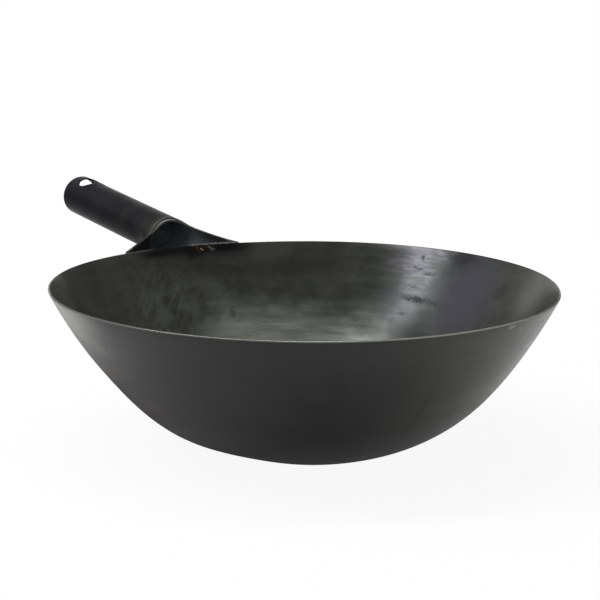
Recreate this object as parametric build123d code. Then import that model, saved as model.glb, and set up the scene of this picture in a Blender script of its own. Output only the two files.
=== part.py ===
from build123d import *
from math import acos, asin, atan2, ceil, cos, degrees, radians, sin, tan
import os

# A carbon steel wok with one hollow handle. Lengths are millimetres, angles are degrees.
# The bowl stands on the XY plane, on its own axis, and the handle points along +X.

# Arcs that are revolved are drawn as even chords, which keeps the solids light
chord_sag = 0.15

# Bowl: a spun sheet, whose outer outline is a flat disc and three tangent arcs
rim_radius = 180.0
bowl_sheet = 1.6
base_flat_radius = 40.0
heel_radius = 100.0
heel_angle = 15.0
belly_radius = 133.0
belly_angle = 50.0
wall_radius = 395.0
rim_edge_chamfer = 0.4

# Handle: a rolled sheet that is a tube along the grip and a flared socket at the bowl
tube_radius = 15.9
handle_sheet = 1.2
handle_reach = 178.0
handle_rise_angle = 4.4
axis_above_rim = 1.5
end_lip_radius = 3.0
hanging_hole_radius = 8.5
hanging_hole_setback = 18.5

# Socket: the flare of the tube, in plan and seen from the side
flare_bend_radius = 22.0
flare_angle = 58.0
wing_half_span = 47.5
wing_end_station = -2.0
socket_drop = 14.0
socket_depth_past_rim = 30.0
mouth_station = 16.5
mouth_sag = 2.6
mouth_run_share = 1.3
bend_shares = (0.0, 0.25, 0.5, 0.75, 1.0)
tail_radius = 9.0
flare_shares = (0.35, 0.7)
tail_shares = (0.0, 0.5, 1.0)
past_rim_shares = (0.3, 1.0)

# Liner: the second sheet inside the socket
liner_sheet = 1.2
liner_gap = 0.15
liner_edge_step = 1.4
liner_neck_length = 15.0

# Seats and welds
wall_clearance = 0.2
seam_gap = 1.0
seam_bead_radius = 1.0
seam_stitch_count = 4
seam_stitch_share = 0.55
rim_bead_radius = 1.9
rim_bead_sides = 12
rim_bead_angle = 8.0
socket_bead = 2.4
socket_stitch_length = 14.0
socket_stitch_shares = (-0.62, 0.0, 0.62)
overrun = 5.0


def chords(arc, turn, radius):
    """An arc as even chords, as many as the sag allows at its radius before any inset."""
    count = ceil(radians(turn) / (2 * acos(1 - chord_sag / radius)))
    return Polyline([arc @ (n / count) for n in range(count + 1)]).edges()


def bowl_outline(inset):
    """The bowl's outline from its axis to its rim, moved inwards by a length."""
    start = (base_flat_radius, inset)
    belly_end = (base_flat_radius + heel_radius * sin(radians(heel_angle))
                 + belly_radius * (sin(radians(belly_angle)) - sin(radians(heel_angle))))
    rim_angle = degrees(asin(sin(radians(belly_angle)) + (rim_radius - belly_end) / wall_radius))
    flat = Line((0, inset), start)
    heel = JernArc(start, (1, 0), heel_radius - inset, heel_angle)
    belly = JernArc(heel @ 1, heel % 1, belly_radius - inset, belly_angle - heel_angle)
    wall = JernArc(belly @ 1, belly % 1, wall_radius - inset, rim_angle - belly_angle)
    return [
        flat,
        *chords(heel, heel_angle, heel_radius),
        *chords(belly, belly_angle - heel_angle, belly_radius),
        *chords(wall, rim_angle - belly_angle, wall_radius),
    ]


rim_end = bowl_outline(0)[-1] @ 1
rim_height = rim_end.Y


def make_bowl():
    """One sheet of even thickness, with the edges of its cut rim broken."""
    outer = bowl_outline(0)
    inner = bowl_outline(bowl_sheet)
    foot = Line(outer[0] @ 0, inner[0] @ 0)
    rim = Line(outer[-1] @ 1, inner[-1] @ 1)
    section = make_face(Wire([*outer, *inner, foot, rim]))
    bowl = revolve(Plane.XZ * section, Axis.Z)
    rims = bowl.edges().filter_by(lambda e: e.center().Z > rim_height - rim_edge_chamfer)
    return chamfer(rims, rim_edge_chamfer)


def bowl_envelope(clearance):
    """The space inside the bowl's outer face, grown by a clearance and open upwards."""
    outline = bowl_outline(-clearance)
    top = outline[-1] @ 1
    lid_height = rim_height + tube_radius + overrun
    section = make_face(Wire([
        *outline,
        Line(top, (top.X, lid_height)),
        Line((top.X, lid_height), (0, lid_height)),
        Line((0, lid_height), (0, -clearance)),
    ]))
    return revolve(Plane.XZ * section, Axis.Z)


# The handle is drawn along its own axis, from the point above the rim, and then raised
handle_place = Location((rim_radius, 0, rim_height + axis_above_rim), (0, -handle_rise_angle, 0))
bend_run = flare_bend_radius * sin(radians(flare_angle))
bend_spread = flare_bend_radius * (1 - cos(radians(flare_angle)))
wing_spread = wing_half_span - tube_radius - bend_spread
socket_start = wing_end_station + wing_spread / tan(radians(flare_angle)) + bend_run
socket_end = wing_end_station - socket_depth_past_rim
socket_length = socket_start - socket_end


def socket_section(station, half_width, turn, inset):
    """An ellipse across the socket, drawn inwards by a length square to the sheet."""
    share = (socket_start - station) / socket_length
    depth = tube_radius + socket_drop * share ** 2
    half_height = (tube_radius + depth) / 2 - inset
    side_inset = inset / cos(radians(turn))
    plane = Plane(origin=(station, 0, tube_radius - half_height - inset), x_dir=(0, 1, 0), z_dir=(1, 0, 0))
    if share == 0:
        return plane * Circle(tube_radius - inset)
    return plane * Ellipse(half_width - side_inset, half_height)


def socket_body(inset):
    """The flare as a solid: round at the tube, then wide and flat past the rim."""
    sections = []
    for share in bend_shares:
        turn = flare_angle * share
        station = socket_start - flare_bend_radius * sin(radians(turn))
        half_width = tube_radius + flare_bend_radius * (1 - cos(radians(turn)))
        sections.append(socket_section(station, half_width, turn, inset))
    for share in flare_shares:
        straight = share * (station - wing_end_station)
        spread = half_width + straight * tan(radians(flare_angle))
        sections.append(socket_section(station - straight, spread, flare_angle, inset))
    for share in tail_shares:
        turn = flare_angle * (1 - share)
        station = wing_end_station - tail_radius * (sin(radians(flare_angle)) - sin(radians(turn)))
        half_width = wing_half_span + tail_radius * (cos(radians(turn)) - cos(radians(flare_angle)))
        sections.append(socket_section(station, half_width, turn, inset))
    for share in past_rim_shares:
        past = station + (socket_end - station) * share
        sections.append(socket_section(past, half_width, 0, inset))
    return loft(sections, ruled=True)


def tube_body(start, end, inset):
    """A round bar along the handle's axis."""
    plane = Plane(origin=(start, 0, 0), x_dir=(0, 1, 0), z_dir=(1, 0, 0))
    return plane * extrude(Circle(tube_radius - inset), end - start)


def mouth_cut(step):
    """The space above the socket's open edge. A step moves the edge away from the bowl."""
    low = Vector(wing_end_station, 0)
    run = (Vector(mouth_station, tube_radius) - low) * mouth_run_share
    back = Vector(run.Y, -run.X).normalized() * step
    far = socket_end - overrun
    edge = SagittaArc(low + back, low + run + back, -mouth_sag)
    section = make_face(Wire([
        edge,
        Line(edge @ 1, (far, (edge @ 1).Y)),
        Line((far, (edge @ 1).Y), (far, back.Y)),
        Line((far, back.Y), edge @ 0),
    ]))
    reach = 2 * wing_half_span
    return extrude(Plane.XZ * section, reach, both=True)


def end_lip(inset):
    """The bar's far end, turned in on an arc."""
    radius = tube_radius - inset
    turn = end_lip_radius - inset
    start = handle_reach - end_lip_radius
    arc = JernArc((start, radius), (1, 0), turn, -90)
    end = arc @ 1
    section = make_face(Wire([
        Line((start, 0), (start, radius)),
        *chords(arc, 90, end_lip_radius),
        Line(end, (end.X, 0)),
        Line((end.X, 0), (start, 0)),
    ]))
    return revolve(Plane.XZ * section, Axis.X)


def largest(shape):
    """The main solid of a cut shape."""
    return shape.solids().sort_by(SortBy.VOLUME)[-1]


def make_handle_shell(envelope):
    """Tube, turned-in end and flared socket, all of one sheet."""
    lip_start = handle_reach - end_lip_radius
    outside, inside = [
        socket_body(inset) + tube_body(socket_start, lip_start, inset) + end_lip(inset)
        for inset in (0, handle_sheet)
    ]
    end_bore = tube_body(lip_start, handle_reach + overrun, end_lip_radius)
    seam_length = handle_reach + overrun - socket_start
    seam_place = Pos(socket_start + seam_length / 2, 0, -tube_radius)
    seam = seam_place * Box(seam_length, seam_gap, tube_radius)
    hole_height = tube_radius + overrun
    hole_place = Pos(handle_reach - hanging_hole_setback, 0, hole_height / 2)
    hole = hole_place * Cylinder(hanging_hole_radius, hole_height)
    shell = outside - inside - end_bore - seam - hole - mouth_cut(liner_edge_step)
    return largest(handle_place * shell - envelope)


def make_socket_liner(envelope):
    """The sheet that backs the socket and runs a little way into the tube."""
    outer_inset = handle_sheet + liner_gap
    inner_inset = outer_inset + liner_sheet
    neck_end = socket_start + liner_neck_length
    outside, inside = [
        socket_body(inset) + tube_body(socket_start, neck_end, inset)
        for inset in (outer_inset, inner_inset)
    ]
    liner = outside - inside - mouth_cut(0)
    return largest(handle_place * liner - envelope)


def make_grip_seam_weld(shell):
    """Stitches along the underside, where the rolled sheet's edges meet."""
    first = socket_start + liner_neck_length + seam_bead_radius
    pitch = (handle_reach - end_lip_radius - first) / seam_stitch_count
    stitches = []
    for n in range(seam_stitch_count):
        start = first + n * pitch
        seam_level = handle_sheet / 2 - tube_radius
        plane = Plane(origin=(start, 0, seam_level), x_dir=(0, 1, 0), z_dir=(1, 0, 0))
        stitches.append(handle_place * extrude(plane * Circle(seam_bead_radius), pitch * seam_stitch_share))
    return [largest(stitch - shell) for stitch in stitches]


def make_rim_weld(side, bowl, shell, liner):
    """A bead along the rim, in the corner that it makes with a wing's end."""
    end_angle = degrees(atan2(wing_half_span, rim_radius + wing_end_station))
    bead_radius = rim_radius + wall_clearance + rim_bead_radius / 2
    place = Plane.XZ * Pos(bead_radius, rim_height - rim_bead_radius)
    section = place * RegularPolygon(rim_bead_radius, rim_bead_sides)
    bead = Rot(0, 0, end_angle - rim_bead_angle) * revolve(section, Axis.Z, rim_bead_angle)
    if side < 0:
        bead = mirror(bead, Plane.XZ)
    return largest(bead - bowl - shell - liner)


def make_socket_welds(envelope):
    """Stitches in the corner between the socket's lower side and the bowl's wall."""
    around_socket = handle_place * (socket_body(-socket_bead) - socket_body(0))
    around_bowl = bowl_envelope(wall_clearance + socket_bead) - envelope
    bead = around_socket & around_bowl
    stitches = []
    for share in socket_stitch_shares:
        cutter = Pos(rim_radius, share * wing_half_span, rim_height - tube_radius - socket_drop)
        slab = cutter * Box(rim_radius, socket_stitch_length, 2 * (tube_radius + socket_drop))
        stitches.append(largest(bead & slab))
    return stitches


envelope = bowl_envelope(wall_clearance)
bowl = make_bowl()
shell = make_handle_shell(envelope)
liner = make_socket_liner(envelope)
parts = {
    "bowl": bowl,
    "handle_shell": shell,
    "socket_liner": liner,
    "grip_seam_weld": Compound(children=make_grip_seam_weld(shell)),
    "rim_weld_left": make_rim_weld(1, bowl, shell, liner),
    "rim_weld_right": make_rim_weld(-1, bowl, shell, liner),
    "socket_welds": Compound(children=make_socket_welds(envelope)),
}

os.makedirs("parts", exist_ok=True)
for name, shape in parts.items():
    export_step(shape, f"parts/{name}.step")
    print(name, len(shape.solids()), "solids", round(shape.volume), "mm3", shape.bounding_box().size)
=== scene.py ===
import math

import bmesh
import bpy
from mathutils import Matrix, Vector, noise
from mathutils.bvhtree import BVHTree


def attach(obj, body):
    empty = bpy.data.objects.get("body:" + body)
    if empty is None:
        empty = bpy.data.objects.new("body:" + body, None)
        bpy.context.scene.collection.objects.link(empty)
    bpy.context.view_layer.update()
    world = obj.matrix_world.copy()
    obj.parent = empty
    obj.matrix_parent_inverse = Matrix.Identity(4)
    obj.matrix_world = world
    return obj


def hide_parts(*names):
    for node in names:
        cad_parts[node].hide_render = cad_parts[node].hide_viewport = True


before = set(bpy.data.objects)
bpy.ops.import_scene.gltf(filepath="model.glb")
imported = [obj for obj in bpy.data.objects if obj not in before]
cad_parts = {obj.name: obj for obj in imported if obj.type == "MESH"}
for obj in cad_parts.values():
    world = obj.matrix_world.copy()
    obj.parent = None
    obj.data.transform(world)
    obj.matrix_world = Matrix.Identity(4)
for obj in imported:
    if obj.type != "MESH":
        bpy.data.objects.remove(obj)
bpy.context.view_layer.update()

# Bowl, in metres and degrees: a flat disc and three tangent arcs, of one sheet
RIM_RADIUS = 0.180
SHEET = 0.0016
FLAT_RADIUS = 0.040
ARC_RADII = (0.100, 0.133, 0.395)
ARC_ENDS = (15.0, 50.0)
RIM_ROUND = 0.0006

# Handle: a rolled sheet, drawn along its own axis from the point above the rim
TUBE_RADIUS = 0.0159
HANDLE_SHEET = 0.0012
HANDLE_REACH = 0.1793
HANDLE_RISE = 4.4
AXIS_ABOVE_RIM = 0.0015
LIP_RADIUS = 0.0018
HOLE_RADIUS = 0.0095
HOLE_TURN = 2.0
HOLE_SETBACK = 0.0200
HOLE_RISE = 0.0008
HOLE_RISE_REACH = 0.011
HOLE_RISE_SPREAD = 0.75  # in radians
HOLE_PATCH_REACH = 0.0125
HOLE_PATCH_SIDE = 58.0
BEND_RADIUS = 0.022
FLARE_ANGLE = 58.0
WING_HALF_SPAN = 0.0475
WING_END = -0.002
SOCKET_DROP = 0.014
SOCKET_PAST_RIM = 0.030
MOUTH_STATION = 0.0165
MOUTH_SAG = 0.0026
MOUTH_RUN = 1.3
MOUTH_TAIL_SLOPE = 0.15
MOUTH_CUT_REACH = 0.02
TAIL_RADIUS = 0.009
LINER_GAP = 0.00015
LINER_STEP = 0.0023
LINER_NECK = 0.015
WALL_CLEARANCE = 0.0002
SEAM_GAP = 0.001
SEAM_OPENING_RUN = 0.001
FLARE_SHIFT = 0.0026
FLARE_EASE = 0.0014
FLARE_EASE_REACH = 0.009
MOUTH_DROP = 0.0006
EDGE_ROUND = 0.0003
EDGE_ANGLE = 50.0


# Bowl geometry


def arc_centres():
    """The centres of the outline's arcs, each as a radius and a height."""
    centre = Vector((FLAT_RADIUS, ARC_RADII[0]))
    centres = [centre]
    for turn, before, after in zip(ARC_ENDS, ARC_RADII, ARC_RADII[1:]):
        a = math.radians(turn)
        centre = centre + (before - after) * Vector((math.sin(a), -math.cos(a)))
        centres.append(centre)
    return centres


CENTRES = arc_centres()
RIM_TURN = math.degrees(math.asin((RIM_RADIUS - CENTRES[2].x) / ARC_RADII[2]))


def bowl_point(turn, inset):
    """Radius and height of the outline where its slope is turn, moved inwards."""
    arc = sum(turn > end for end in ARC_ENDS)
    a = math.radians(turn)
    return CENTRES[arc] + (ARC_RADII[arc] - inset) * Vector((math.sin(a), -math.cos(a)))


RIM_HEIGHT = bowl_point(RIM_TURN, 0).y


def closed_in(low, high, is_low, halvings):
    """A range halved again and again, down to where the test turns from true to false."""
    for _ in range(halvings):
        middle = (low + high) / 2
        if is_low(middle):
            low = middle
        else:
            high = middle
    return low, high


def bowl_radius_at(height):
    """Radius of the bowl's outer face at a height."""
    turns = closed_in(0.0, RIM_TURN, lambda turn: bowl_point(turn, 0).y < height, 30)
    return bowl_point(turns[0], 0).x


# Places in the photograph's own directions: right, away from the camera, and up from the rim
PHOTO_TURN = math.radians(-122.0)


def photo_way(right, away, up):
    """A direction given as the camera sees it, in the object's frame."""
    return Matrix.Rotation(PHOTO_TURN, 3, "Z") @ Vector((right, away, up))


def from_photo(right, away, up):
    """A place given as the camera sees it, from the middle of the rim."""
    return photo_way(right, away, up) + Vector((0, 0, RIM_HEIGHT))


# Camera
CAMERA_PLACE = (0.0, -1.4709, 0.2939)
CAMERA_AIM = (-0.0034, 0.0, -0.0105)
CAMERA_ROLL = 0.56
CAMERA_LENS = 127.95
PHOTO_SIZE = 600


def make_camera():
    """The photograph's viewpoint, with its slight roll."""
    place, aim = from_photo(*CAMERA_PLACE), from_photo(*CAMERA_AIM)
    ahead = (aim - place).normalized()
    level = ahead.cross(Vector((0, 0, 1))).normalized()
    roll = math.radians(CAMERA_ROLL)
    right = math.cos(roll) * level + math.sin(roll) * level.cross(ahead)
    up = right.cross(ahead)
    data = bpy.data.cameras.new("camera")
    data.lens = CAMERA_LENS
    data.clip_start, data.clip_end = 0.01, 50
    camera = bpy.data.objects.new("camera", data)
    camera.matrix_world = Matrix.LocRotScale(
        place, Matrix((right, up, -ahead)).transposed().to_quaternion(), None)
    bpy.context.scene.collection.objects.link(camera)
    bpy.context.scene.camera = camera
    return camera


camera = make_camera()


def photo_ray(x, y):
    """Start and direction of the line of sight through a pixel of the photograph."""
    scale = camera.data.sensor_width / camera.data.lens / PHOTO_SIZE
    half = PHOTO_SIZE / 2
    ahead = Vector(((x - half) * scale, (half - y) * scale, -1.0))
    return camera.matrix_world.translation, (camera.matrix_world.to_3x3() @ ahead).normalized()


# Mesh helpers


def round_axis(radius, angle, height):
    """A place round the bowl's axis."""
    return Vector((radius * math.cos(angle), radius * math.sin(angle), height))


def ring_faces(rings, sides):
    """The faces between rings that have as many points each."""
    faces = []
    for low in range(0, (rings - 1) * sides, sides):
        high = low + sides
        for side in range(sides):
            after = (side + 1) % sides
            faces.append((low + side, low + after, high + after, high + side))
    return faces


def add_object(name, data):
    """A new object in the scene, for a mesh or a lamp."""
    made = bpy.data.objects.new(name, data)
    bpy.context.scene.collection.objects.link(made)
    return made


def mesh_of(name, points, faces):
    """A mesh whose coinciding points are joined."""
    bm = bmesh.new()
    verts = [bm.verts.new(p) for p in points]
    for face in faces:
        bm.faces.new([verts[n] for n in face])
    bmesh.ops.remove_doubles(bm, verts=bm.verts, dist=1e-6)
    mesh = bpy.data.meshes.new(name)
    bm.to_mesh(mesh)
    bm.free()
    return mesh


def apply_modifiers(piece, sharp_angle):
    """Leaves the piece with the mesh that its modifiers make, smooth up to an angle."""
    graph = bpy.context.evaluated_depsgraph_get()
    mesh = bpy.data.meshes.new_from_object(piece.evaluated_get(graph))
    piece.modifiers.clear()
    piece.data = mesh
    mesh.shade_smooth()
    mesh.set_sharp_from_angle(angle=math.radians(sharp_angle))


def hold(piece, body, slot, *nodes):
    """The piece rides on a body and stands for CAD nodes. The slot is not used."""
    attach(piece, body)
    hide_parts(*nodes)
    return piece


# Bowl mesh
BOWL_SIDES = 384
BOWL_SHARP = 50.0
RIM_CORNER_STEP = 18
WAVE_HEIGHT = 0.00012
WAVE_SCALE = 18.0
DIP_DEPTH = 0.0012
DIP_ANGLE = -8.0
DIP_SPREAD = 34.0
DIP_POWER = 8
FLAT_SIDE_DEPTH = 0.0024
FLAT_SIDE_ANGLE = 70.0
FLAT_SIDE_SPREAD = 42.0
FLAT_SIDE_HEIGHT = 0.036
FLAT_SIDE_RISE = 0.030
FLAT_SIDE_START = 8
LIFT = 0.0021
LIFT_ANGLE = 108.0
LIFT_SPREAD = 30.0
LIFT_RADIUS = 0.068
LIFT_REACH = 0.026
LIFT_START = 2
BULGE = 0.0010
BULGE_ANGLE = -147.0
BULGE_SPREAD = 38.0
BULGE_HEIGHT = 0.058
BULGE_RISE = 0.026
RIM_FLAT = 0.0010
RIM_FLAT_ANGLE = -122.0
RIM_FLAT_SPREAD = 16.0
RIM_FLAT_POWER = 6


def bowl_side(inset):
    """The outline from near the axis to the rim, as radius and height."""
    flat_steps = 6
    points = [Vector((FLAT_RADIUS * n / flat_steps, inset)) for n in range(1, flat_steps)]
    steps = 84
    turns = [RIM_TURN * n / steps for n in range(steps + 1)]
    return points + [bowl_point(turn, inset) for turn in turns]


def rim_corner(centre, start):
    """A quarter turn that rounds one edge of the rim."""
    return [centre + RIM_ROUND * Vector((math.cos(a), math.sin(a)))
            for a in (math.radians(start + step) for step in range(0, 91, RIM_CORNER_STEP))]


def make_bowl():
    """The bowl as one closed sheet, a little uneven as spun sheet is."""
    a = math.radians(RIM_TURN)
    along, out = Vector((math.cos(a), math.sin(a))), Vector((math.sin(a), -math.cos(a)))
    outer, inner = bowl_side(0), bowl_side(SHEET)
    outer_centre = outer.pop() - RIM_ROUND * (along + out)
    inner_centre = inner.pop() - RIM_ROUND * (along - out)
    start = RIM_TURN - 90
    rim = rim_corner(outer_centre, start) + rim_corner(inner_centre, start + 90)
    profile = outer + rim + inner[::-1]
    angles = [2 * math.pi * side / BOWL_SIDES for side in range(BOWL_SIDES)]
    points = [unevenness(round_axis(ring.x, angle, ring.y))
              for ring in profile for angle in angles]
    faces = ring_faces(len(profile), BOWL_SIDES)
    first, last = len(points), len(points) + 1
    points += [Vector((0, 0, 0)), Vector((0, 0, SHEET))]
    top = (len(profile) - 1) * BOWL_SIDES
    for side in range(BOWL_SIDES):
        after = (side + 1) % BOWL_SIDES
        faces.append((first, after, side))
        faces.append((last, top + side, top + after))
    bowl = add_object("wok_bowl", mesh_of("wok_bowl", points, faces))
    apply_modifiers(bowl, BOWL_SHARP)
    return hold(bowl, "root", "bowl_steel", "bowl")


def bell(value, middle, spread):
    """One at the middle, falling away on both sides."""
    return math.exp(-((value - middle) / spread) ** 2)


def unevenness(point):
    """A point of the bowl, moved as spun sheet wanders: waves, flat and full sides, dip, lift."""
    share = point.z / RIM_HEIGHT
    radius = math.hypot(point.x, point.y)
    wave = noise.noise(point * WAVE_SCALE) * WAVE_HEIGHT * share
    out = Vector((point.x, point.y, 0)).normalized()
    angle = math.degrees(math.atan2(point.y, point.x))
    flat = FLAT_SIDE_DEPTH * bell(angle, FLAT_SIDE_ANGLE, FLAT_SIDE_SPREAD)
    flat *= bell(point.z, FLAT_SIDE_HEIGHT, FLAT_SIDE_RISE) * min(1.0, share * FLAT_SIDE_START)
    dip = DIP_DEPTH * bell(angle, DIP_ANGLE, DIP_SPREAD) * share ** DIP_POWER
    bulge = BULGE * bell(angle, BULGE_ANGLE, BULGE_SPREAD)
    bulge *= bell(point.z, BULGE_HEIGHT, BULGE_RISE)
    bulge -= RIM_FLAT * bell(angle, RIM_FLAT_ANGLE, RIM_FLAT_SPREAD) * share ** RIM_FLAT_POWER
    lift = LIFT * bell(angle, LIFT_ANGLE, LIFT_SPREAD) * bell(radius, LIFT_RADIUS, LIFT_REACH)
    lift *= min(1.0, max(0.0, (radius - FLAT_RADIUS) / FLAT_RADIUS * LIFT_START))
    return point + out * (wave - flat + bulge) + Vector((0, 0, lift - dip))


# Handle meshes
RISE = math.radians(HANDLE_RISE)
HANDLE_PLACE = (Matrix.Translation((RIM_RADIUS, 0, RIM_HEIGHT + AXIS_ABOVE_RIM))
                @ Matrix.Rotation(-RISE, 4, "Y"))
FLARE = math.radians(FLARE_ANGLE)
BEND_WIDTH = TUBE_RADIUS + BEND_RADIUS * (1 - math.cos(FLARE))
BEND_END = WING_END + (WING_HALF_SPAN - BEND_WIDTH) / math.tan(FLARE)
SOCKET_START = BEND_END + BEND_RADIUS * math.sin(FLARE)
SOCKET_LENGTH = SOCKET_START - WING_END + SOCKET_PAST_RIM
LIP_START = HANDLE_REACH - LIP_RADIUS
HOLE_STATION = HANDLE_REACH - HOLE_SETBACK
AROUND = 160
HANDLE_SHARP = 40.0


def half_width_at(station):
    """Half the socket's width: a bend out of the tube, a straight flare, a turned-back tail."""
    if station >= SOCKET_START:
        return TUBE_RADIUS
    if station >= BEND_END:
        turn = math.asin((SOCKET_START - station) / BEND_RADIUS)
        return TUBE_RADIUS + BEND_RADIUS * (1 - math.cos(turn))
    if station >= WING_END:
        return BEND_WIDTH + (BEND_END - station) * math.tan(FLARE)
    turn = math.asin(max(0.0, math.sin(FLARE) - (WING_END - station) / TAIL_RADIUS))
    return WING_HALF_SPAN + TAIL_RADIUS * (math.cos(turn) - math.cos(FLARE))


def hole_rise(station, turn):
    """How far the sheet stands out around the punched hole, by the angle from the top."""
    along = bell(station, HOLE_STATION, HOLE_RISE_REACH)
    return HOLE_RISE * along * bell(turn, math.radians(HOLE_TURN), HOLE_RISE_SPREAD)


def skin_point(station, angle):
    """A point of the handle's outer face. Angle 0 is at the side and 90 on top."""
    share = max(0.0, (SOCKET_START - station) / SOCKET_LENGTH)
    half_height = TUBE_RADIUS + SOCKET_DROP * share ** 2 / 2
    half_width = half_width_at(station)
    flared = (SOCKET_START - station) / (SOCKET_START - WING_END)
    shift = FLARE_SHIFT * min(1.0, max(0.0, flared))
    across = math.cos(angle)
    ease = FLARE_EASE * bell(station, SOCKET_START, FLARE_EASE_REACH) * max(0.0, across) ** 2
    rise = hole_rise(station, math.atan2(math.cos(angle), math.sin(angle)))
    return Vector((station, shift + (half_width + ease + rise) * across,
                   TUBE_RADIUS - half_height + (half_height + rise) * math.sin(angle)))


def sheet_point(station, angle, depth):
    """A point at a depth under the handle's outer face."""
    if not depth:
        return skin_point(station, angle)
    step = 1e-5
    along = skin_point(station + step, angle) - skin_point(station - step, angle)
    around = skin_point(station, angle + step) - skin_point(station, angle - step)
    normal = along.cross(around).normalized()
    place = skin_point(station, angle)
    if normal.dot(Vector((0, place.y, place.z))) > 0:
        normal = -normal
    return place + depth * normal


def mouth_arc(step):
    """The mouth's arched edge, a step away from the bowl: its start, centre and radius."""
    run = Vector((MOUTH_STATION - WING_END, TUBE_RADIUS)) * MOUTH_RUN
    away = Vector((run.y, -run.x)).normalized()
    radius = (run.length_squared / 4 + MOUTH_SAG ** 2) / (2 * MOUTH_SAG)
    low = Vector((WING_END, -MOUTH_DROP)) + away * step
    return low, low + run / 2 - away * (radius - MOUTH_SAG), radius


def mouth_height(station, step):
    """Height of the mouth's edge at a station."""
    low, centre, radius = mouth_arc(step)
    if station < low.x:
        return low.y - MOUTH_TAIL_SLOPE * (low.x - station)
    across = min(radius, station - centre.x)
    return centre.y - math.sqrt(radius ** 2 - across ** 2)


def is_cut(station, angle, depth, step):
    """Whether the mouth or the bowl takes this place of the sheet away."""
    place = sheet_point(station, angle, depth)
    in_reach = station < MOUTH_STATION + MOUTH_CUT_REACH
    if in_reach and place.z > mouth_height(station, step):
        return True
    there = HANDLE_PLACE @ place
    radius = RIM_RADIUS if there.z > RIM_HEIGHT else bowl_radius_at(there.z)
    return math.hypot(there.x, there.y) < radius + WALL_CLEARANCE


def front_station(angle, depth, step):
    """Where the sheet's front edge is, at this angle."""
    kept, coarse = SOCKET_START, 0.0005
    while not is_cut(kept - coarse, angle, depth, step):
        kept -= coarse
    ends = closed_in(kept - coarse, kept, lambda place: is_cut(place, angle, depth, step), 16)
    return ends[1]


def seam_angle(station):
    """Half the angle that the tube's open seam takes."""
    share = min(1.0, max(0.0, (station - SOCKET_START) / SEAM_OPENING_RUN))
    return share * SEAM_GAP / 2 / TUBE_RADIUS


def sheet_rows(depth, step, last_station, has_seam):
    """Rows of points of the handle's sheet, from its front edge along the tube."""
    join = SOCKET_START
    flare_steps, crowding, tube_step = 44, 1.15, 0.0025
    angles = [math.radians(-90 + 360 * n / AROUND) for n in range(AROUND + 1)]
    fronts = [front_station(angle, depth, step) for angle in angles]
    rows = []
    for n in range(flare_steps + 1):
        share = (n / flare_steps) ** crowding
        rows.append([sheet_point(front + (join - front) * share, angle, depth)
                     for front, angle in zip(fronts, angles)])
    tube_steps = round((last_station - join) / tube_step)
    for n in range(1, tube_steps + 1):
        station = join + (last_station - join) * n / tube_steps
        half = seam_angle(station) if has_seam else 0.0
        squeeze = 1 - half / math.pi
        rows.append([sheet_point(station, math.pi / 2 + (angle - math.pi / 2) * squeeze, depth)
                     for angle in angles])
    return rows


def lip_rows(half):
    """Rows of the tube's far end, turned in on an arc."""
    rows = []
    squeeze = 1 - half / math.pi
    steps = 6
    for n in range(1, steps + 1):
        turn = math.radians(90 * n / steps)
        radius = TUBE_RADIUS - LIP_RADIUS * (1 - math.cos(turn))
        station = LIP_START + LIP_RADIUS * math.sin(turn)
        row = []
        for side in range(AROUND + 1):
            angle = math.pi / 2 + math.radians(-180 + 360 * side / AROUND) * squeeze
            row.append(Vector((station, radius * math.cos(angle), radius * math.sin(angle))))
        rows.append(row)
    return rows


def hole_patch(rows, points, faces):
    """Cells around the hanging hole, drawn in rings. Returns the cells that they replace."""
    beside = [n for n, row in enumerate(rows)
              if abs(row[0].x - HOLE_STATION) < HOLE_PATCH_REACH and row[0].x > SOCKET_START]
    first, last = beside[0], beside[-1]
    middle_turn = math.radians(HOLE_TURN)
    middle = AROUND // 2 - round(HOLE_TURN / 360 * AROUND)
    spread = round(math.radians(HOLE_PATCH_SIDE) / (2 * math.pi) * AROUND)
    left, right = middle - spread, middle + spread
    loop = [(first, column) for column in range(left, right)]
    loop += [(row, right) for row in range(first, last)]
    loop += [(last, column) for column in range(right, left, -1)]
    loop += [(row, left) for row in range(last, first, -1)]
    width = AROUND + 1
    before = [row * width + column for row, column in loop]
    rings = 7
    for ring in range(1, rings + 1):
        share = ring / rings
        now = []
        for row, column in loop:
            edge = rows[row][column]
            across = math.atan2(edge.y, edge.z) - middle_turn
            flat = Vector((edge.x - HOLE_STATION, across * TUBE_RADIUS))
            aim = flat.normalized() * HOLE_RADIUS
            hole = Vector((aim.x, math.asin(aim.y / TUBE_RADIUS) * TUBE_RADIUS))
            place = flat.lerp(hole, share)
            station = HOLE_STATION + place.x
            turn = place.y / TUBE_RADIUS + middle_turn
            radius = TUBE_RADIUS + hole_rise(station, turn)
            now.append(len(points))
            points.append(Vector((station, radius * math.sin(turn), radius * math.cos(turn))))
        count = len(loop)
        for n in range(count):
            after = (n + 1) % count
            faces.append((before[n], before[after], now[after], now[n]))
        before = now
    return {(row, column) for row in range(first, last) for column in range(left, right)}


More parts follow.
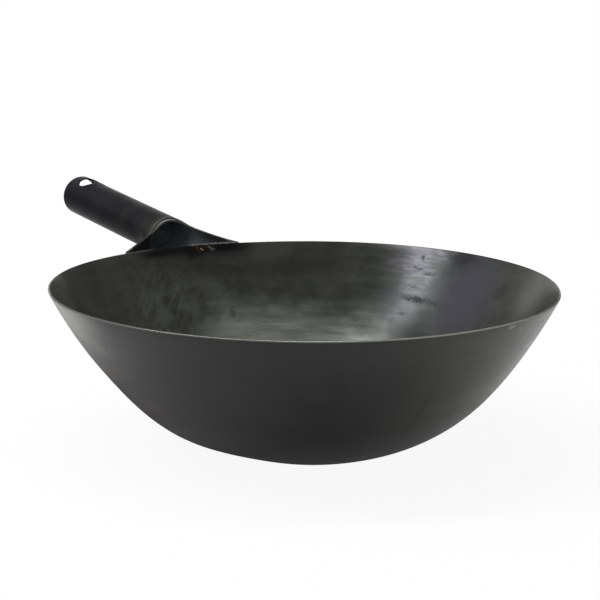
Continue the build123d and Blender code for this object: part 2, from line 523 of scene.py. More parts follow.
def sheet_piece(name, rows, has_hole, *nodes):
    """A piece of sheet from rows of its outer face."""
    points = [point for row in rows for point in row]
    width = len(rows[0])
    faces = []
    skipped = hole_patch(rows, points, faces) if has_hole else set()
    for row in range(len(rows) - 1):
        for column in range(width - 1):
            if (row, column) not in skipped:
                low, high = row * width + column, (row + 1) * width + column
                faces.append((low, low + 1, high + 1, high))
    mesh = mesh_of(name, [HANDLE_PLACE @ point for point in points], faces)
    piece = add_object(name, mesh)
    solid = piece.modifiers.new("thickness", "SOLIDIFY")
    solid.thickness = HANDLE_SHEET
    solid.offset = -1
    bevel = piece.modifiers.new("edges", "BEVEL")
    bevel.width = EDGE_ROUND
    bevel.segments = 2
    bevel.limit_method = "ANGLE"
    bevel.angle_limit = math.radians(EDGE_ANGLE)
    apply_modifiers(piece, HANDLE_SHARP)
    return hold(piece, "root", "handle_steel", *nodes)


def make_handle():
    """The handle's rolled sheet, and the liner inside its flare."""
    rows = sheet_rows(0.0, LINER_STEP, LIP_START, True) + lip_rows(seam_angle(LIP_START))
    shell = sheet_piece("wok_handle", rows, True, "handle_shell")
    depth = HANDLE_SHEET + LINER_GAP
    rows = sheet_rows(depth, 0.0, SOCKET_START + LINER_NECK, False)
    liner = sheet_piece("wok_socket_liner", rows, False, "socket_liner")
    return shell, liner


# Weld beads
BEAD_SIDES = 14
BEAD_LEAST_SHARE = 0.82
BEAD_RIPPLE_SHARE = 0.18
BEAD_ROUGH_SHARE = 0.22
BEAD_GRAIN = 900
BEAD_TAPER_SHARE = 0.12
BEAD_TIP_SHARE = 0.05
BEAD_SHARP = 60.0
RIM_WELD_OUT = 0.0006
RIM_WELD_DROP = 0.0010
RIM_WELD_PITCH = 0.0021
SEAM_STITCHES = 4
SEAM_STITCH_SHARE = 0.55
SEAM_WELD_START = 0.001
SEAM_WELD_RADIUS = 0.00105
SEAM_WELD_PITCH = 0.0016
SOCKET_WELD_ANGLES = (-52.0, -90.0, -128.0)
SOCKET_WELD_HALF = 9.0
SOCKET_WELD_OFFSET = (0.0004, 0, -0.0006)
SOCKET_WELD_RADIUS = 0.0021
SOCKET_WELD_PITCH = 0.0024
SOCKET_WELD_SEED = 20


def bead_mesh(name, path, radius, pitch, seed):
    """A ragged bead of weld metal along a path, with the ripples of its pools."""
    steps = len(path)
    length = sum((b - a).length for a, b in zip(path, path[1:]))
    points = []
    for n, place in enumerate(path):
        ahead = (path[min(n + 1, steps - 1)] - path[max(n - 1, 0)]).normalized()
        side = ahead.cross(Vector((0, 0, 1))).normalized()
        up = side.cross(ahead)
        along = length * n / (steps - 1)
        pool = abs(math.sin(math.pi * along / pitch))
        ripple = BEAD_LEAST_SHARE + BEAD_RIPPLE_SHARE * pool
        to_end = min(n, steps - 1 - n)
        end = math.sin(math.pi * min(0.5, 0.5 * to_end / (BEAD_TAPER_SHARE * steps)))
        for side_n in range(BEAD_SIDES):
            a = 2 * math.pi * side_n / BEAD_SIDES
            grain = place * BEAD_GRAIN + Vector((math.cos(a), math.sin(a), seed))
            rough = 1 + BEAD_ROUGH_SHARE * noise.noise(grain)
            r = max(radius * BEAD_TIP_SHARE, radius * ripple * rough * end)
            points.append(place + side * r * math.cos(a) + up * r * math.sin(a))
    faces = ring_faces(steps, BEAD_SIDES)
    faces.append(tuple(range(BEAD_SIDES)))
    faces.append(tuple((steps - 1) * BEAD_SIDES + s for s in reversed(range(BEAD_SIDES))))
    return mesh_of(name, points, faces)


def weld_piece(name, node, meshes):
    """One object from the beads of a weld's node."""
    bm = bmesh.new()
    for mesh in meshes:
        bm.from_mesh(mesh)
    whole = bpy.data.meshes.new(name)
    bmesh.ops.recalc_face_normals(bm, faces=bm.faces)
    bm.to_mesh(whole)
    bm.free()
    piece = add_object(name, whole)
    apply_modifiers(piece, BEAD_SHARP)
    return hold(piece, "root", "weld_metal", node)


def rim_weld(name, side, node, inward, outward, radius, seed):
    """The bead along the rim, from inward degrees before one wing's end to outward past it."""
    end = math.atan2(WING_HALF_SPAN + side * FLARE_SHIFT, RIM_RADIUS + WING_END)
    first, last = end - math.radians(inward), end + math.radians(outward)
    steps = 70
    path = []
    for n in range(steps + 1):
        angle = side * (first + (last - first) * n / steps)
        place = round_axis(RIM_RADIUS + RIM_WELD_OUT, angle, RIM_HEIGHT - RIM_WELD_DROP)
        path.append(unevenness(place))
    return weld_piece(name, node, [bead_mesh(name, path, radius, RIM_WELD_PITCH, seed)])


def seam_welds():
    """The stitches that close the tube's seam underneath."""
    first = SOCKET_START + LINER_NECK + SEAM_WELD_START
    spacing = (LIP_START - first) / SEAM_STITCHES
    height = HANDLE_SHEET / 2 - TUBE_RADIUS
    steps = 50
    meshes = []
    for n in range(SEAM_STITCHES):
        start = first + n * spacing
        path = []
        for k in range(steps + 1):
            station = start + spacing * SEAM_STITCH_SHARE * k / steps
            path.append(HANDLE_PLACE @ Vector((station, 0, height)))
        meshes.append(bead_mesh("stitch", path, SEAM_WELD_RADIUS, SEAM_WELD_PITCH, n))
    return weld_piece("wok_seam_weld", "grip_seam_weld", meshes)


def corner_point(angle):
    """Where the handle's outer face meets the bowl's wall, at an angle round the socket."""
    return HANDLE_PLACE @ skin_point(front_station(angle, 0.0, LINER_STEP), angle)


def socket_welds():
    """The stitches between the socket's lower edge and the bowl's wall."""
    half, steps = SOCKET_WELD_HALF, 46
    meshes = []
    for seed, middle in enumerate(SOCKET_WELD_ANGLES, SOCKET_WELD_SEED):
        path = []
        for k in range(steps + 1):
            place = corner_point(math.radians(middle - half + 2 * half * k / steps))
            path.append(place + Vector(SOCKET_WELD_OFFSET))
        meshes.append(bead_mesh("stitch", path, SOCKET_WELD_RADIUS, SOCKET_WELD_PITCH, seed))
    return weld_piece("wok_socket_welds", "socket_welds", meshes)


# Materials


def set_input(tree, socket, value):
    """Links another node's output to the socket, or sets the socket's own value."""
    if isinstance(value, bpy.types.NodeSocket):
        tree.links.new(value, socket)
    else:
        socket.default_value = value


class Shader:
    """A node material under construction, in the object's coordinates."""

    def __init__(self, name):
        self.material = bpy.data.materials.new(name)
        self.material.use_nodes = True
        self.tree = self.material.node_tree
        self.surface = self.tree.nodes["Principled BSDF"]
        self.place = self.node("ShaderNodeTexCoord").outputs["Object"]

    def set(self, socket, value):
        set_input(self.tree, socket, value)

    def node(self, kind, **inputs):
        """A new node, with its inputs set by name."""
        made = self.tree.nodes.new(kind)
        for name, value in inputs.items():
            self.set(made.inputs[name.replace("_", " ")], value)
        return made

    def math(self, operation, first, second=0.0):
        made = self.node("ShaderNodeMath")
        made.operation = operation
        self.set(made.inputs[0], first)
        self.set(made.inputs[1], second)
        return made.outputs[0]

    def product(self, first, second):
        return self.math("MULTIPLY", first, second)

    def sum(self, first, second):
        return self.math("ADD", first, second)

    def hypot(self, x, y):
        """Length of the two sides together."""
        return self.math("SQRT", self.sum(self.product(x, x), self.product(y, y)))

    def strongest(self, masks):
        """The largest of several values."""
        total = 0.0
        for mask in masks:
            total = self.math("MAXIMUM", mask, total)
        return total

    def vector(self, x, y, z):
        return self.node("ShaderNodeCombineXYZ", X=x, Y=y, Z=z).outputs[0]

    def vector_math(self, operation, *values, output="Vector"):
        made = self.node("ShaderNodeVectorMath")
        made.operation = operation
        for socket, value in zip(made.inputs, values):
            self.set(socket, value)
        return made.outputs[output]

    def dot(self, vector, axis):
        return self.vector_math("DOT_PRODUCT", vector, axis, output="Value")

    def distance(self, place, centre):
        """Distance from a fixed point."""
        return self.vector_math("DISTANCE", place, centre, output="Value")

    def noise(self, vector, scale, detail=4.0, roughness=0.55, distortion=0.0):
        return self.node("ShaderNodeTexNoise", Vector=vector, Scale=scale, Detail=detail,
                         Roughness=roughness, Distortion=distortion).outputs["Fac"]

    def range(self, value, low, high, to_low=0.0, to_high=1.0):
        """Maps a value from one range to another, softly at both ends."""
        made = self.node("ShaderNodeMapRange", Value=value, From_Min=low, From_Max=high,
                         To_Min=to_low, To_Max=to_high)
        made.interpolation_type = "SMOOTHSTEP"
        return made.outputs[0]

    def mix(self, share, first, second):
        """The first colour, with a share of the second over it."""
        made = self.node("ShaderNodeMix")
        made.data_type = "RGBA"
        self.set(made.inputs["Factor"], share)
        colors = {socket.name: socket for socket in made.inputs if socket.type == "RGBA"}
        self.set(colors["A"], first)
        self.set(colors["B"], second)
        return [socket for socket in made.outputs if socket.type == "RGBA"][0]

    def layered(self, color, *layers):
        """A colour with others over it, each given as a share and a colour."""
        for share, over in layers:
            color = self.mix(share, color, over)
        return color

    def frayed(self, place, amount, scale):
        """A place pushed about by noise, so that a patch measured in it has a ragged edge."""
        noisy = self.node("ShaderNodeTexNoise", Vector=self.place, Scale=scale, Detail=4.0)
        centred = self.vector_math("SUBTRACT", noisy.outputs["Color"], (0.5, 0.5, 0.5))
        return self.vector_math("MULTIPLY_ADD", centred, (amount, amount, 0), place)

    def near(self, place, centre, reach, core=0.2):
        """One at a centre, falling to nothing at its reach along each axis."""
        shifted = self.vector_math("SUBTRACT", place, centre)
        scaled = self.vector_math("DIVIDE", shifted, reach)
        length = self.vector_math("LENGTH", scaled, output="Value")
        return self.range(length, core, 1.0, 1.0, 0.0)

    def along_handle(self):
        """Station along the handle, height over its axis, and distance from the axis."""
        origin = HANDLE_PLACE.translation
        axis, up = HANDLE_PLACE.col[0].to_3d(), HANDLE_PLACE.col[2].to_3d()
        station = self.sum(self.dot(self.place, axis), -origin.dot(axis))
        height = self.sum(self.dot(self.place, up), -origin.dot(up))
        return station, height, self.hypot(self.dot(self.place, (0, 1, 0)), height)

    def beside_mouth(self, station, height, step):
        """Distance from the mouth's arched edge."""
        centre, radius = mouth_arc(step)[1:]
        away = self.hypot(self.sum(station, -centre.x), self.sum(height, -centre.y))
        return self.math("ABSOLUTE", self.sum(away, -radius))

    def bump(self, height, distance, strength=1.0, normal=None):
        """The normal of a surface with this height on it, over another bump if one is given."""
        made = self.node("ShaderNodeBump", Height=height, Distance=distance, Strength=strength)
        if normal:
            self.set(made.inputs["Normal"], normal)
        return made.outputs["Normal"]

    def finish(self, color, roughness, normal, **constants):
        """Sets the surface. The constants stay on its own sockets."""
        inputs = self.surface.inputs
        self.set(inputs["Base Color"], color)
        self.set(inputs["Roughness"], roughness)
        self.set(inputs["Normal"], normal)
        for name, value in constants.items():
            inputs[name.replace("_", " ")].default_value = value
        return self.material


def wall_place(x, y):
    """Where a pixel shows the bowl, on its wall unrolled: metres round the rim, and height."""
    place = bowl_tree.ray_cast(*photo_ray(x, y))[0]
    return (math.atan2(place.y, place.x) * RIM_RADIUS, place.z, 0.0)


def rgb(red, green, blue):
    """An opaque colour, in linear light."""
    return (red, green, blue, 1.0)


# Marks on the bowl: the pixel that shows each, its reach round the wall and up it, its strength
# Painted reflection: a pale glow over the bowl's lower middle, where light from above reflects
PAINTED_REFLECTION = (
    (290, 340, 0.12, 0.032, 1.0), (227, 321, 0.012, 0.012, 0.7), (240, 316, 0.05, 0.022, 0.45),
    (254, 330, 0.085, 0.02, 0.9), (350, 334, 0.05, 0.018, 0.15),
)
# Painted highlight: brighter colour where the key lamp's streak falls on the inner wall
PAINTED_SHEEN = (
    (444, 250, 0.02, 0.014, 1.0), (417, 256, 0.034, 0.024, 1.0), (418, 280, 0.026, 0.02, 0.9),
    (402, 308, 0.026, 0.022, 0.7),
)
VIOLET = ((468, 298, 0.055, 0.045, 1.0),)
# Painted light: paler inner sides at the left and right ends of the view
PAINTED_LIGHT_SIDES = ((548, 292, 0.085, 0.06, 0.65), (58, 298, 0.06, 0.05, 1.0))
# Dark marks: stains and rows of pits in the streak, with painted shade on the back wall under the
# socket and at the lower ends of the lamp's streak and glow
DARK_PATCHES = (
    (412, 299, 0.034, 0.0045, 0.75), (412, 270, 0.026, 0.0025, 0.5),
    (395, 285, 0.02, 0.0035, 0.5), (185, 262, 0.075, 0.016, 0.7), (463, 258, 0.022, 0.006, 1.0),
    (205, 252, 0.06, 0.01, 0.8), (270, 268, 0.09, 0.01, 0.5), (150, 262, 0.06, 0.008, 0.6),
    (500, 292, 0.012, 0.008, 0.6), (400, 333, 0.03, 0.011, 0.8), (150, 275, 0.05, 0.02, 0.5),
    (372, 331, 0.024, 0.01, 0.7), (391, 297, 0.019, 0.024, 0.9), (322, 320, 0.04, 0.016, 0.5),
)
WIPES = ((165, 300, 0.055, 0.045, 1.0), (210, 295, 0.04, 0.03, 0.6))
PITS = (
    (423, 258, 0.003, 0.0028, 1.0), (416, 268, 0.013, 0.0018, 0.9),
    (430, 274, 0.012, 0.0018, 0.8), (412, 286, 0.01, 0.0016, 0.7),
    (414, 299, 0.024, 0.0034, 1.0), (432, 303, 0.012, 0.0022, 0.7),
    (402, 313, 0.008, 0.003, 0.6), (391, 320, 0.004, 0.003, 0.6),
    (358, 321, 0.003, 0.0016, 0.8), (270, 322, 0.032, 0.0012, 0.8),
    (300, 331, 0.03, 0.001, 0.7), (250, 335, 0.02, 0.001, 0.7),
    (233, 312, 0.004, 0.006, 0.8), (205, 310, 0.008, 0.006, 0.5),
)
SOOT = ((197, 249, 0.012, 0.007, 1.0), (203, 249, 0.005, 0.005, 1.0))
# Painted shade: the rim's edge turns near black inside the socket's trough
RIM_SHADE = (
    (196, 248.0, 0.04, 0.008, 1.0), (224, 246.5, 0.03, 0.006, 1.0),
    (164, 252, 0.04, 0.006, 1.0),
)
RUST = (
    (196, 247, 0.004, 0.0026, 1.0), (200, 250, 0.004, 0.0026, 1.0),
    (204, 247, 0.002, 0.002, 0.6),
)
SPATTER = (
    (201.8, 249.2, 0.0012, 0.001, 1.0), (209.5, 247, 0.003, 0.0016, 0.25),
    (213, 249, 0.003, 0.0016, 0.2),
)
# Painted reflection: pale glows outside, by the left rim and low at the right
PAINTED_GLOW_OUTSIDE = ((69, 316, 0.055, 0.036, 1.0), (478, 394, 0.05, 0.016, 0.22))
BROWN_TINTS = ((112, 372, 0.04, 0.008, 1.0), (150, 408, 0.04, 0.006, 1.0))
OUTSIDE_SPOTS = ((84, 342, 0.004, 0.003, 1.0), (439, 339, 0.0022, 0.0014, 0.7))
SCRAPES = (
    (512, 327, 0.005, 0.0022, 1.0), (520, 329, 0.0035, 0.0016, 0.7),
    (528, 319.5, 0.003, 0.001, 0.8),
)
# Two pixels that one stroke of the wiping cloth joins
WIPE_STROKE = ((172, 288), (160, 322))

# Finishes outside the bowl
OUTER_DARK = rgb(0.0095, 0.0095, 0.01)
OUTER_PALE = rgb(0.0155, 0.0153, 0.0135)
OUTER_LEFT_BROWN_SHADE = rgb(0.011, 0.0084, 0.0062)
OUTER_RIGHT_PAINTED_LIGHT = rgb(0.029, 0.031, 0.0225)
OUTER_BANDS = rgb(0.018, 0.018, 0.018)
OUTER_BROWN = rgb(0.04, 0.02, 0.014)
OUTER_PAINTED_GLOW = rgb(0.17, 0.165, 0.147)
OUTER_SPOT = rgb(0.003, 0.003, 0.003)
SCRAPED_STEEL = rgb(0.2, 0.2, 0.18)
# Bare rim steel, lifted by a painted highlight on the near side and to the right
BARE_RIM_AND_GLINT = rgb(0.22, 0.22, 0.199)

# Finishes inside the bowl
INNER_DARK = rgb(0.0165, 0.018, 0.0155)
INNER_PALE = rgb(0.034, 0.036, 0.0305)
INNER_BANDS = rgb(0.044, 0.047, 0.041)
INNER_SMUDGE = rgb(0.062, 0.067, 0.058)
INNER_SPECKLE = rgb(0.055, 0.06, 0.05)
INNER_SIDE_PAINTED_LIGHT = rgb(0.062, 0.066, 0.055)
INNER_VIOLET = rgb(0.031, 0.0295, 0.038)
INNER_PAINTED_SHEEN = rgb(0.052, 0.051, 0.057)
INNER_PAINTED_REFLECTION = rgb(0.132, 0.141, 0.124)
DARK_STAIN_AND_SHADE = rgb(0.008, 0.008, 0.008)
SOOT_BLACK = rgb(0.003, 0.003, 0.003)
RIM_SHADE_BLACK = rgb(0.001, 0.001, 0.001)
RUST_BROWN = rgb(0.055, 0.03, 0.01)
SPATTER_BRIGHT = rgb(0.22, 0.21, 0.18)

# Finishes of the handle, its liner and the welds
SCALE_BLUE = rgb(0.0064, 0.006, 0.0092)
SCALE_OLIVE = rgb(0.011, 0.0108, 0.0098)
SCALE_GREY = rgb(0.0165, 0.016, 0.017)
WORN_EDGE = rgb(0.075, 0.075, 0.064)
BARE_SOCKET = rgb(0.12, 0.13, 0.15)
BARE_TUBE = rgb(0.42, 0.45, 0.48)
LINER_DARK = rgb(0.004, 0.0042, 0.0035)
LINER_PALE = rgb(0.009, 0.0095, 0.008)
# Painted light on one wing's inner face
LINER_SIDE_PAINTED_LIGHT = rgb(0.2, 0.215, 0.23)
LINER_NECK_BARE = rgb(0.25, 0.27, 0.285)
LINER_EDGE = rgb(0.1, 0.1, 0.085)
WELD_DARK = rgb(0.01, 0.0095, 0.009)
WELD_BRIGHT = rgb(0.16, 0.155, 0.14)


class BowlShader(Shader):
    """The bowl's material, with the places and textures that several of its marks share."""

    def __init__(self, name):
        super().__init__(name)
        x, y, self.height = self.node("ShaderNodeSeparateXYZ", Vector=self.place).outputs
        self.radius = self.hypot(x, y)
        off_axis = self.math("MAXIMUM", self.radius, 0.001)
        self.cosine, self.sine = (self.math("DIVIDE", side, off_axis) for side in (x, y))
        around = self.product(self.math("ARCTAN2", y, x), RIM_RADIUS)
        self.unrolled = self.vector(around, self.height, 0.0)
        self.across = self.dot(self.place, photo_way(1, 0, 0))
        self.ragged = self.frayed(self.unrolled, amount=0.030, scale=45.0)
        self.rough_edge = self.frayed(self.unrolled, amount=0.005, scale=350.0)
        self.bands = self.ringed(self.radius, 260, 3, detail=5.0, roughness=0.65)
        self.cloud = self.noise(self.place, 20.0, detail=7.0, roughness=0.62, distortion=0.6)
        self.fine = self.noise(self.place, 420.0, detail=3.0, roughness=0.6)

    def patches(self, place, marks, core=0.2):
        """The strongest of several marks at each place of the unrolled wall."""
        masks = []
        for x, y, around, high, strength in marks:
            mask = self.near(place, wall_place(x, y), (around, high, 1.0), core)
            masks.append(self.product(mask, strength))
        return self.strongest(masks)

    def ringed(self, along, along_scale, around_scale, detail, roughness):
        """Noise drawn out round the bowl's axis, as spinning marks are."""
        place = self.vector(self.product(along, along_scale),
                            self.product(self.cosine, around_scale),
                            self.product(self.sine, around_scale))
        return self.noise(place, 1.0, detail, roughness)

    def wiped(self):
        """Noise drawn out along the strokes of the wiping cloth."""
        start, end = (Vector(wall_place(*pixel)) for pixel in WIPE_STROKE)
        stroke = (end - start).normalized()
        beside = Vector((-stroke.y, stroke.x, 0))
        place = self.vector(self.product(self.dot(self.unrolled, beside), 230),
                            self.product(self.dot(self.unrolled, stroke), 28), 0.0)
        return self.noise(place, 1.0, detail=5.0, roughness=0.6, distortion=0.5)

    def outside(self):
        """Dark oiled steel: browner with painted shade at the camera's left, paler with painted
        light at its right.
        """
        return self.layered(
            OUTER_DARK,
            (self.range(self.cloud, 0.35, 0.7), OUTER_PALE),
            # painted shade with a browner tone at the left, painted light at the right, by
            # direction across the view
            (self.range(self.across, -0.03, -0.15), OUTER_LEFT_BROWN_SHADE),
            (self.range(self.across, 0.02, 0.13), OUTER_RIGHT_PAINTED_LIGHT),
            (self.product(self.range(self.bands, 0.5, 0.75), 0.5), OUTER_BANDS),
            (self.product(self.patches(self.ragged, BROWN_TINTS), 0.7), OUTER_BROWN),
            # painted reflection glowing outside
            (self.patches(self.ragged, PAINTED_GLOW_OUTSIDE, core=0.1), OUTER_PAINTED_GLOW),
            (self.patches(self.rough_edge, OUTSIDE_SPOTS), OUTER_SPOT),
            (self.patches(self.rough_edge, SCRAPES), SCRAPED_STEEL),
        )

    def smudged(self, color, pale):
        """The broad marks inside: spinning bands, wiped smudges, and painted light on the paler
        sides.
        """
        wiped = self.patches(self.ragged, WIPES)
        smudges = self.product(self.range(self.wiped(), 0.42, 0.72), wiped)
        speckle = self.noise(self.place, 75.0, detail=7.0, roughness=0.72, distortion=0.4)
        spots = self.product(wiped, self.range(speckle, 0.46, 0.62))
        return self.layered(
            color,
            (self.product(self.range(self.bands, 0.45, 0.75), 0.35), INNER_BANDS),
            (self.product(smudges, 0.45), INNER_SMUDGE),
            (self.product(spots, 0.6), INNER_SPECKLE),
            (pale, INNER_SIDE_PAINTED_LIGHT),
            (self.product(self.patches(self.ragged, VIOLET), 0.7), INNER_VIOLET),
        )

    def shining(self, color):
        """A painted highlight over the lamp's streak, broken by ring noise, and a painted
        reflection glowing over the middle.
        """
        rows = self.ringed(self.height, 150, 3, detail=4.0, roughness=0.65)
        lines = self.ringed(self.height, 420, 14, detail=4.0, roughness=0.7)
        worn = self.sum(self.product(rows, 0.5), self.product(lines, 0.5))
        # painted highlight over the lamp's streak, broken into rows by ring noise
        sheen = self.product(self.patches(self.unrolled, PAINTED_SHEEN, core=0.1),
                             self.range(worn, 0.42, 0.57, 0.20, 1.0))
        soft = self.frayed(self.unrolled, amount=0.016, scale=60.0)
        # painted reflection glowing over the middle, banded by the spinning marks
        reflected_glow = self.product(self.patches(soft, PAINTED_REFLECTION),
                            self.range(self.bands, 0.30, 0.62, 0.55, 1.0))
        return self.layered(color, (sheen, INNER_PAINTED_SHEEN), (reflected_glow, INNER_PAINTED_REFLECTION))

    def stained(self, color, pits):
        """The dark marks inside, some of them painted shade, with the rust and the spatter beside
        the handle.
        """
        dark = self.patches(self.frayed(self.unrolled, amount=0.012, scale=110.0), DARK_PATCHES)
        rust = self.product(self.patches(self.rough_edge, RUST),
                            self.range(self.fine, 0.45, 0.6))
        return self.layered(
            color,
            # dark stains, with painted shade in some of the patches
            (self.product(dark, 0.7), DARK_STAIN_AND_SHADE),
            (self.product(pits, 0.85), DARK_STAIN_AND_SHADE),
            (self.patches(self.ragged, SOOT), SOOT_BLACK),
            # painted shade on the rim's edge under the socket
            (self.patches(self.rough_edge, RIM_SHADE), RIM_SHADE_BLACK),
            (rust, RUST_BROWN),
            (self.patches(self.rough_edge, SPATTER), SPATTER_BRIGHT),
        )

    def rim_edge_and_glint(self):
        """The bare edge of the rim, with a painted highlight brightest on the near side and to the
        right.
        """
        edge = self.product(self.range(self.height, RIM_HEIGHT - 0.0008, RIM_HEIGHT - 0.0003),
                            self.range(self.radius, RIM_RADIUS - 0.0011, RIM_RADIUS - 0.0007))
        near = self.dot(self.place, photo_way(0, -1, 0))
        glint_side = self.product(self.range(near, -0.09, 0.02, 0.12, 1.0),
                              self.range(self.across, -0.09, 0.12, 0.38, 1.0))
        return self.product(self.product(edge, glint_side), self.range(self.cloud, 0.2, 0.6, 0.6, 1.0))


def bowl_material():
    """Dark oiled steel: spinning marks, cloudy smudges, pits and a bare, worn rim, with painted
    light and shade.
    """
    s = BowlShader("wok_bowl_steel")
    normal = s.node("ShaderNodeNewGeometry").outputs["Normal"]
    inside = s.range(s.dot(normal, (0, 0, 1)), -0.05, 0.05)
    # Painted light on the inner sides; the metallic share drops there too
    pale = s.product(s.patches(s.ragged, PAINTED_LIGHT_SIDES), 0.6)
    grain = s.ringed(s.radius, 1500, 210, detail=3.0, roughness=0.6)
    pits = s.product(s.patches(s.rough_edge, PITS), s.range(grain, 0.44, 0.53))
    edge = s.rim_edge_and_glint()

    inner = s.mix(s.range(s.cloud, 0.35, 0.7), INNER_DARK, INNER_PALE)
    inner = s.stained(s.shining(s.smudged(inner, pale)), pits)
    color = s.mix(edge, s.mix(inside, s.outside(), inner), BARE_RIM_AND_GLINT)

    blend = s.sum(s.product(s.cloud, 0.6), s.product(s.bands, 0.4))
    rough = s.sum(s.range(blend, 0.3, 0.7, 0.20, 0.30), s.range(inside, 0.0, 1.0, 0.07, 0.0))
    rough = s.math("MAXIMUM", rough, s.product(s.math("MAXIMUM", pits, edge), 0.5))
    rings = s.ringed(s.radius, 900, 6, detail=3.0, roughness=0.6)
    bumped = s.bump(s.fine, 0.00004, 0.4, s.bump(rings, 0.00005, 0.5))
    bumped = s.bump(s.product(pits, -1.0), 0.00003, 0.5, bumped)
    s.set(s.surface.inputs["Metallic"], s.product(inside, s.range(pale, 0.0, 0.6, 0.8, 0.2)))
    return s.finish(color, rough, bumped,
                    Specular_IOR_Level=0.6, Specular_Tint=rgb(0.45, 0.45, 0.45))


def handle_material():
    """Bluish mill scale on rolled sheet, worn at its edges and bare inside."""
    s = Shader("wok_handle_steel")
    cloud = s.noise(s.place, 30.0, detail=5.0, roughness=0.6)
    fine = s.noise(s.place, 500.0, detail=3.0, roughness=0.6)
    station, height, off_axis = s.along_handle()
    blue = s.noise(s.place, 26.0, detail=4.0, roughness=0.6, distortion=0.5)
    olive = s.math("MAXIMUM", s.range(blue, 0.52, 0.70), s.range(station, 0.060, 0.028))
    worn = s.range(s.beside_mouth(station, height, LINER_STEP), 0.0040, 0.0006)
    within = s.range(off_axis, TUBE_RADIUS - 0.0008, TUBE_RADIUS - 0.0011)
    bare = s.product(within, s.range(station, 0.120, 0.070))
    color = s.layered(
        SCALE_BLUE,
        (olive, SCALE_OLIVE),
        (s.product(s.range(cloud, 0.45, 0.75), 0.5), SCALE_GREY),
        (s.product(worn, s.range(cloud, 0.3, 0.6, 0.6, 1.0)), WORN_EDGE),
        (bare, s.mix(s.range(station, 0.026, 0.034), BARE_SOCKET, BARE_TUBE)),
    )
    s.set(s.surface.inputs["Metallic"], s.range(bare, 0.0, 1.0, 1.0, 0.0))
    rough = s.range(cloud, 0.3, 0.7, 0.30, 0.42)
    return s.finish(color, rough, s.bump(fine, 0.00005, 0.4), Specular_Tint=rgb(0.6, 0.6, 0.6))


def liner_material():
    """The sheet inside the flare: dull scale, with painted light on one side, and bare in the
    neck.
    """
    s = Shader("wok_liner_steel")
    cloud = s.noise(s.place, 60.0, detail=5.0, roughness=0.6)
    fine = s.noise(s.place, 500.0, detail=3.0, roughness=0.6)
    y = s.node("ShaderNodeSeparateXYZ", Vector=s.place).outputs["Y"]
    # Painted light on the inner face of one wing, fading across the flare
    side = s.product(s.range(y, 0.024, 0.004), s.range(cloud, 0.3, 0.6, 0.6, 1.0))
    station, height, _ = s.along_handle()
    color = s.layered(
        LINER_DARK,
        (s.range(cloud, 0.35, 0.7), LINER_PALE),
        (s.product(side, s.range(y, -0.034, -0.006, 0.2, 1.0)), LINER_SIDE_PAINTED_LIGHT),
        (s.range(station, SOCKET_START - 0.006, SOCKET_START + 0.002), LINER_NECK_BARE),
        (s.range(s.beside_mouth(station, height, 0.0), 0.0008, 0.0003), LINER_EDGE),
    )
    return s.finish(color, 0.42, s.bump(fine, 0.00005, 0.4), Specular_IOR_Level=0.1)


def weld_material():
    """Rough weld metal, dark with brighter grain."""
    s = Shader("wok_weld_metal")
    grain = s.noise(s.place, 700.0, detail=4.0, roughness=0.6)
    color = s.mix(s.range(grain, 0.48, 0.72), WELD_DARK, WELD_BRIGHT)
    return s.finish(color, 0.45, s.bump(grain, 0.0002, 0.7), Specular_IOR_Level=0.4)


# Stage
FLOOR_HALF = 6.0
FLOOR_WHITE = 0.92
SHADOW_REACH = (0.14, 0.45)
SHADOW_SHARE = 0.08
REFLECTED_SHADOW_SHARE = 0.9
REFLECTED_SHADOW_MIDDLE = (-0.10, 0.0)
# Darker still at the left as reflections see it: middle and reach, each to the right and
# behind, then core and share
REFLECTED_SHADOWS = (
    ((-0.10, 0.17), (0.18, 0.34), 0.3, 0.85),
    ((-0.08, 0.03), (0.13, 0.16), 0.35, 0.5),
)
WORLD_LIGHT = 0.3
LAMP_DISTANCE = 1.7
# Name, azimuth and elevation, width and height, power and tint of each lamp. Azimuth 0 is
# straight behind the bowl in the photograph, and 90 at its right
LAMPS = (
    ("key_lamp", -103, 53, (0.40, 1.2), 18, (0.94, 0.94, 1.0)),
    ("side_lamp", -75, 38, (0.7, 0.7), 2, (0.9, 0.9, 1.0)),
    ("low_lamp", -48, 20, (1.3, 0.7), 2.2, (1, 1, 1)),
    ("top_lamp", 0, 88, (0.8, 0.45), 10, (0.97, 1.0, 0.94)),
)


def ray_share(tree, shares):
    """The share that belongs to the kind of ray: from the camera, reflected or transmitted."""
    path = tree.nodes.new("ShaderNodeLightPath")
    total = 0.0
    for name, share in shares.items():
        more = tree.nodes.new("ShaderNodeMath")
        more.operation = "MULTIPLY_ADD"
        for socket, value in zip(more.inputs, (path.outputs[name], share, total)):
            set_input(tree, socket, value)
        total = more.outputs[0]
    return total


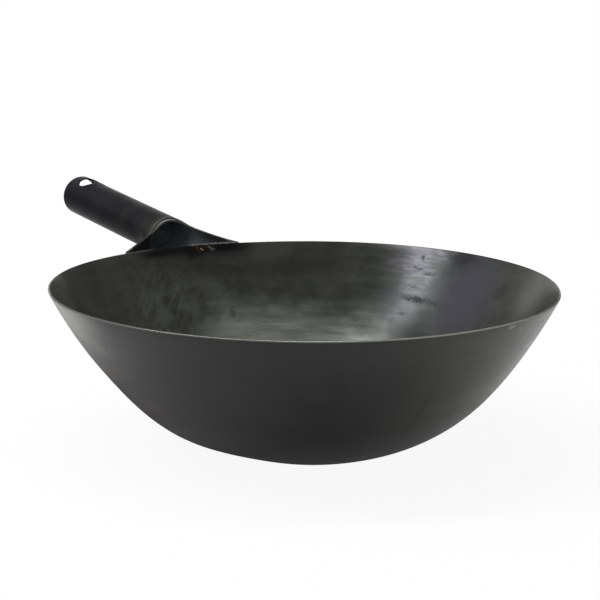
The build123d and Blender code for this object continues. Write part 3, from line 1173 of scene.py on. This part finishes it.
def floor_material():
    """White to the camera, with the object's shadow, and darker near it in reflections."""
    s = Shader("floor")
    s.tree.nodes.remove(s.surface)
    white = s.range(s.distance(s.place, (0, 0, 0)), *SHADOW_REACH, 1 - SHADOW_SHARE, 1.0)
    middle = from_photo(*REFLECTED_SHADOW_MIDDLE, -RIM_HEIGHT)
    reflected = s.range(s.distance(s.place, middle), *SHADOW_REACH,
                        1 - REFLECTED_SHADOW_SHARE, 1.0)
    right, behind = (s.dot(s.place, photo_way(*way)) for way in ((1, 0, 0), (0, 1, 0)))
    seen = s.vector(right, behind, 0.0)
    dark = s.strongest(s.product(s.near(seen, (*centre, 0.0), (*reach, 1.0), core), share)
                       for centre, reach, core, share in REFLECTED_SHADOWS)
    shaded = ray_share(s.tree, {"Is Glossy Ray": dark, "Is Transmission Ray": dark})
    lit = s.math("SUBTRACT", 1.0, shaded)
    diffuse = s.node("ShaderNodeBsdfDiffuse", Color=s.product(lit, FLOOR_WHITE))
    glow = s.node("ShaderNodeEmission", Color=rgb(1, 1, 1), Strength=lit)
    shares = {"Is Camera Ray": white, "Is Glossy Ray": reflected,
              "Is Transmission Ray": reflected}
    blend = s.node("ShaderNodeMixShader")
    s.set(blend.inputs["Fac"], ray_share(s.tree, shares))
    s.set(blend.inputs[1], diffuse.outputs[0])
    s.set(blend.inputs[2], glow.outputs[0])
    s.set(s.tree.nodes["Material Output"].inputs["Surface"], blend.outputs[0])
    return s.material


def make_floor():
    """A pale floor that looks white, and keeps the object's shadow near it."""
    half = FLOOR_HALF
    corners = [Vector((x, y, 0))
               for x, y in ((-half, -half), (half, -half), (half, half), (-half, half))]
    floor = add_object("floor", mesh_of("floor", corners, [(0, 1, 2, 3)]))
    floor.data.materials.append(floor_material())


def make_world():
    """A white surround where it is seen, and a softer light on the object."""
    world = bpy.data.worlds.new("surround")
    bpy.context.scene.world = world
    world.use_nodes = True
    tree = world.node_tree
    background = tree.nodes["Background"]
    background.inputs["Color"].default_value = rgb(1, 1, 1)
    strength = tree.nodes.new("ShaderNodeMapRange")
    shares = {"Is Camera Ray": 1.0, "Is Glossy Ray": 1.0, "Is Transmission Ray": 1.0}
    tree.links.new(ray_share(tree, shares), strength.inputs["Value"])
    strength.inputs["To Min"].default_value = WORLD_LIGHT
    strength.inputs["To Max"].default_value = 1.0
    tree.links.new(strength.outputs[0], background.inputs["Strength"])


def lamp_place(azimuth, elevation):
    """A lamp's place round the middle of the rim."""
    a, e = math.radians(azimuth), math.radians(elevation)
    flat = LAMP_DISTANCE * math.cos(e)
    return from_photo(flat * math.sin(a), flat * math.cos(a), LAMP_DISTANCE * math.sin(e))


def add_lamp(name, azimuth, elevation, size, power, tint):
    """A soft rectangular lamp that shines on the middle of the rim."""
    data = bpy.data.lights.new(name, "AREA")
    data.shape = "RECTANGLE"
    data.size, data.size_y = size
    data.energy = power
    data.color = tint
    lamp = add_object(name, data)
    lamp.location = lamp_place(azimuth, elevation)
    lamp.rotation_mode = "QUATERNION"
    lamp.rotation_quaternion = (from_photo(0, 0, 0) - lamp.location).to_track_quat("-Z", "Y")


def make_lights():
    """A long softbox over the left, whose streak shows in the bowl, and three fill lamps."""
    for lamp in LAMPS:
        add_lamp(*lamp)


def paint(piece, material):
    """The piece gets this material alone."""
    piece.data.materials.clear()
    piece.data.materials.append(material)


bowl = make_bowl()
shell, liner = make_handle()
welds = [
    rim_weld("wok_rim_weld_left", 1, "rim_weld_left",
             inward=8.0, outward=1.6, radius=0.0015, seed=3),
    rim_weld("wok_rim_weld_right", -1, "rim_weld_right",
             inward=12.5, outward=1.4, radius=0.0024, seed=7),
    seam_welds(),
    socket_welds(),
]
bowl_tree = BVHTree.FromObject(bowl, bpy.context.evaluated_depsgraph_get())
paint(bowl, bowl_material())
steel = handle_material()
paint(shell, steel)
paint(liner, liner_material())
weld_metal = weld_material()
for weld in welds:
    paint(weld, weld_metal)
make_floor()
make_world()
make_lights()

bpy.context.scene.view_settings.view_transform = "Standard"
